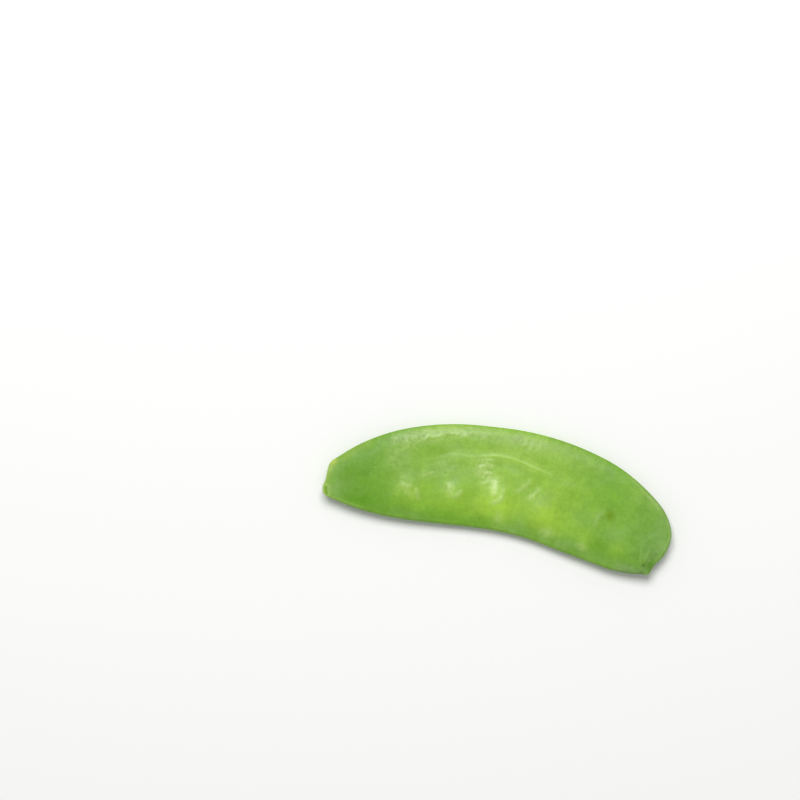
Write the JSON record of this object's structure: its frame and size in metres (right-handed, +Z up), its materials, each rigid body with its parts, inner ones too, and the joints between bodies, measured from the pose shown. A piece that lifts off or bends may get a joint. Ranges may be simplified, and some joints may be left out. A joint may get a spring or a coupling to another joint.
{
  "type": "snow pea pod",
  "caption": "Flat green snow pea pod lying on its side, with low seed swellings, a cord-like seed seam, a trimmed stem end and a snapped beak.",
  "frame": {"origin": "under the middle of the pod's outline, on the surface it lies on", "axes": "+X along the pod from the trimmed stem end to the beak, +Y from the seed seam to the outer seam, +Z up, away from the surface it lies on"},
  "size_m": [0.0749, 0.0247, 0.0042],
  "materials": {
    "pod_skin": "satin"
  },
  "bodies": {
    "root": {"pod": "pod_skin"}
  },
  "joints": []
}
